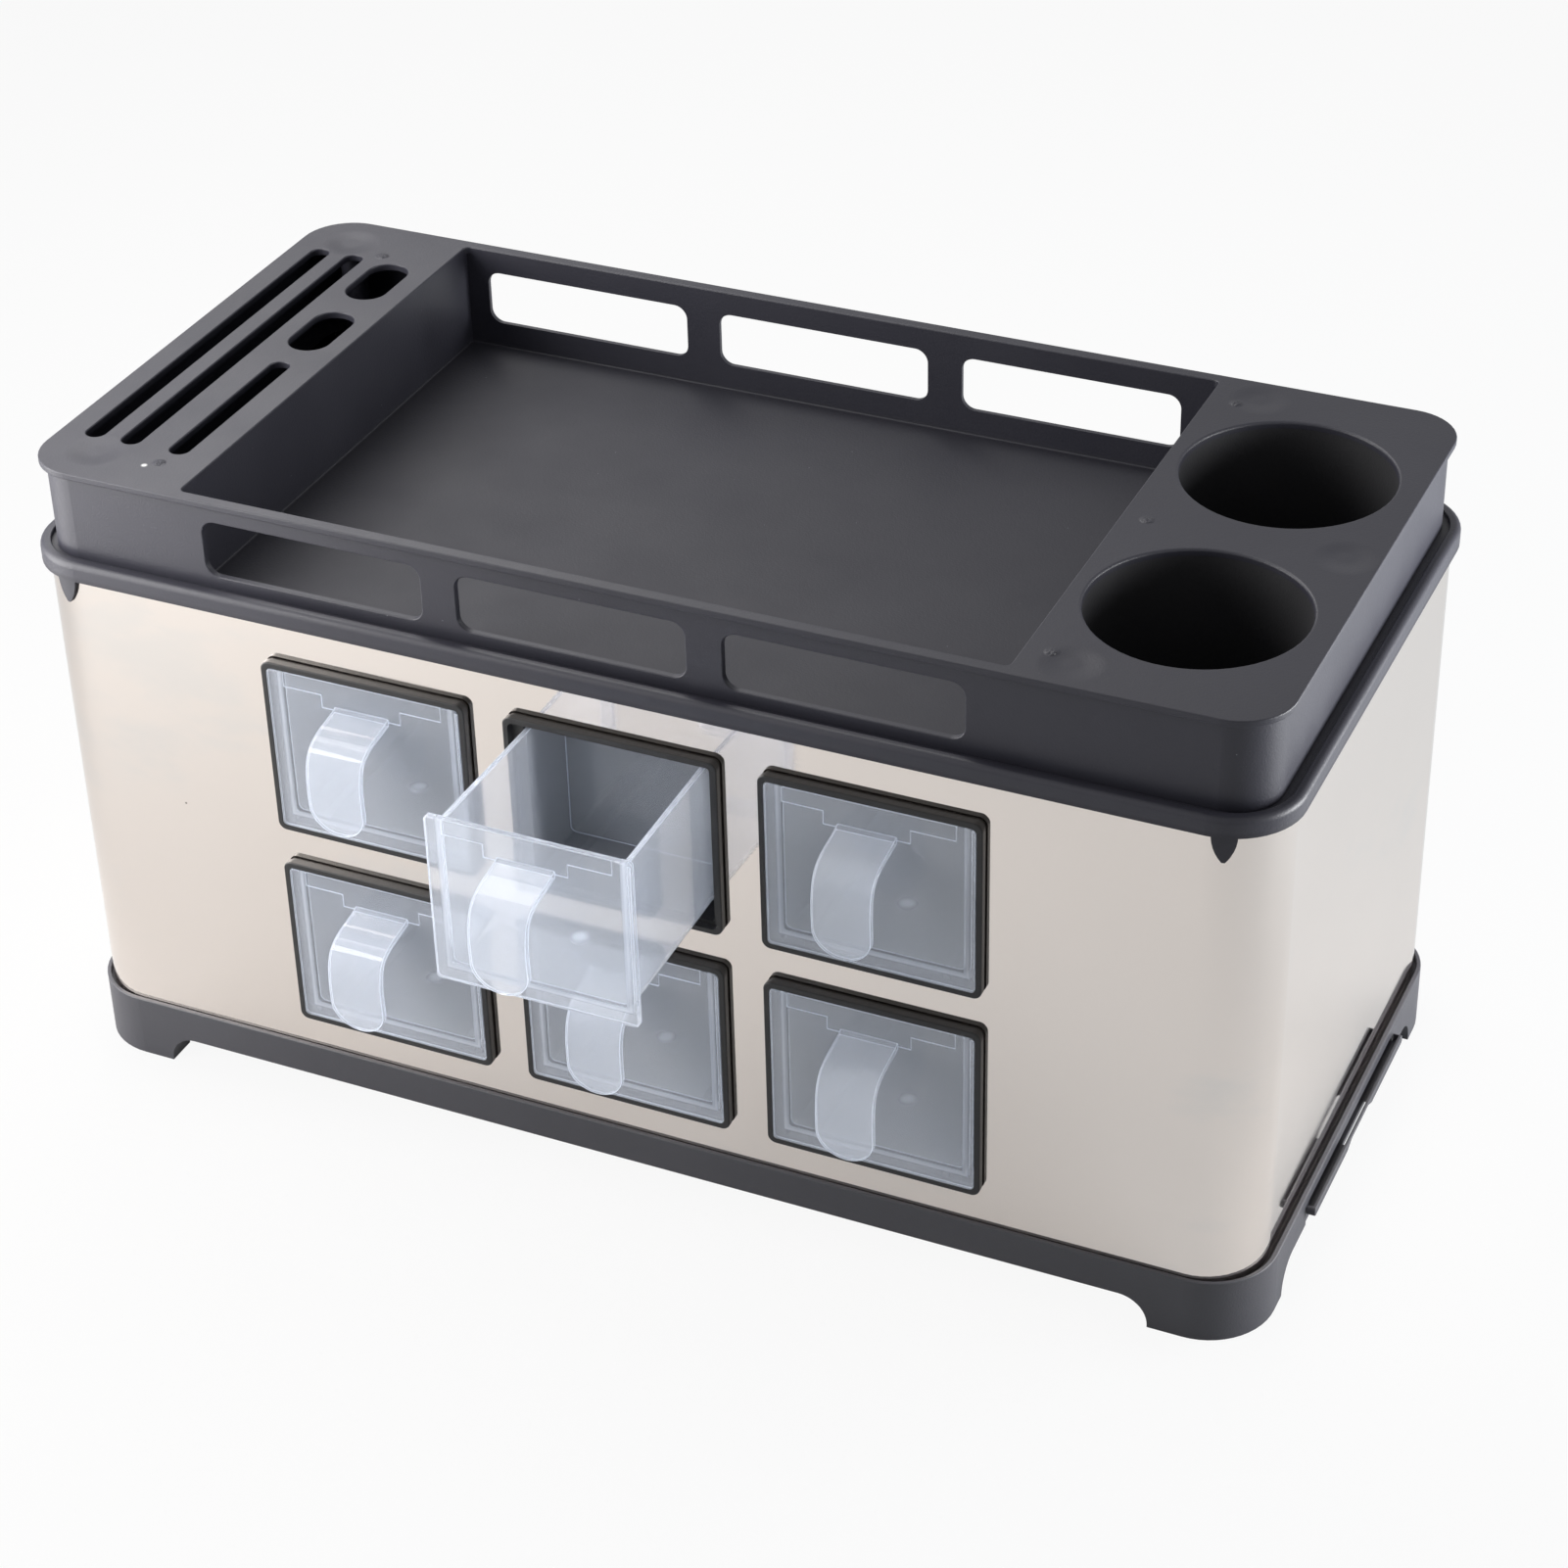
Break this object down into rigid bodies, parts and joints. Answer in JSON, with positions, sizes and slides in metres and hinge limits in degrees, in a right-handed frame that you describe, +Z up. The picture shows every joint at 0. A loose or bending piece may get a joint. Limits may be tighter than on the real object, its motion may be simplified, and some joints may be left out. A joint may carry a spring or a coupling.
{
  "type": "condiment caddy with drawers",
  "caption": "Countertop caddy with a sunken tray, cup holes and knife slots on top, small pull-out drawers in a polished metal body, and a drip tray in a footed plastic base.",
  "frame": {"origin": "on the table under the middle of the whole caddy, with the drawer that stands open counted", "axes": "+X to the right, +Y to the back, +Z up; the drawers open towards -Y and the drip tray towards +X"},
  "size_m": [0.4116, 0.27, 0.2184],
  "materials": {
    "charcoal_plastic": "fine satin moulding",
    "sleeve_plastic": "satin moulding",
    "steel": "mirror-polished stainless sheet",
    "milky_plastic": "translucent moulding",
    "tray_plastic": "satin moulding",
    "screw_steel": "zinc plated"
  },
  "bodies": {
    "caddy": {"top_tray": "charcoal_plastic", "steel_body": "steel", "base_frame": "charcoal_plastic", "utensil_cup_front": "sleeve_plastic", "utensil_cup_rear": "sleeve_plastic", "knife_well": "sleeve_plastic", "sleeve_upper_left": "sleeve_plastic", "sleeve_upper_middle": "sleeve_plastic", "sleeve_upper_right": "sleeve_plastic", "sleeve_lower_left": "sleeve_plastic", "sleeve_lower_middle": "sleeve_plastic", "sleeve_lower_right": "sleeve_plastic", "assembly_screws": "screw_steel"},
    "drip_tray": {"drip_tray": "tray_plastic"},
    "drawer_upper_left": {"drawer_upper_left": "milky_plastic"},
    "drawer_upper_middle": {"drawer_upper_middle": "milky_plastic"},
    "drawer_upper_right": {"drawer_upper_right": "milky_plastic"},
    "drawer_lower_left": {"drawer_lower_left": "milky_plastic"},
    "drawer_lower_middle": {"drawer_lower_middle": "milky_plastic"},
    "drawer_lower_right": {"drawer_lower_right": "milky_plastic"}
  },
  "joints": [
    {"name": "drawer_upper_left_slide", "type": "slide", "parent": "caddy", "child": "drawer_upper_left", "axis": [0, -1, 0], "range_m": [0, 0.07]},
    {"name": "drawer_upper_middle_slide", "type": "slide", "parent": "caddy", "child": "drawer_upper_middle", "axis": [0, -1, 0], "range_m": [-0.052, 0.018]},
    {"name": "drawer_upper_right_slide", "type": "slide", "parent": "caddy", "child": "drawer_upper_right", "axis": [0, -1, 0], "range_m": [0, 0.07]},
    {"name": "drawer_lower_left_slide", "type": "slide", "parent": "caddy", "child": "drawer_lower_left", "axis": [0, -1, 0], "range_m": [0, 0.07]},
    {"name": "drawer_lower_middle_slide", "type": "slide", "parent": "caddy", "child": "drawer_lower_middle", "axis": [0, -1, 0], "range_m": [0, 0.07]},
    {"name": "drawer_lower_right_slide", "type": "slide", "parent": "caddy", "child": "drawer_lower_right", "axis": [0, -1, 0], "range_m": [0, 0.07]},
    {"name": "drip_tray_slide", "type": "slide", "parent": "caddy", "child": "drip_tray", "axis": [1, 0, 0], "range_m": [0, 0.24]}
  ]
}
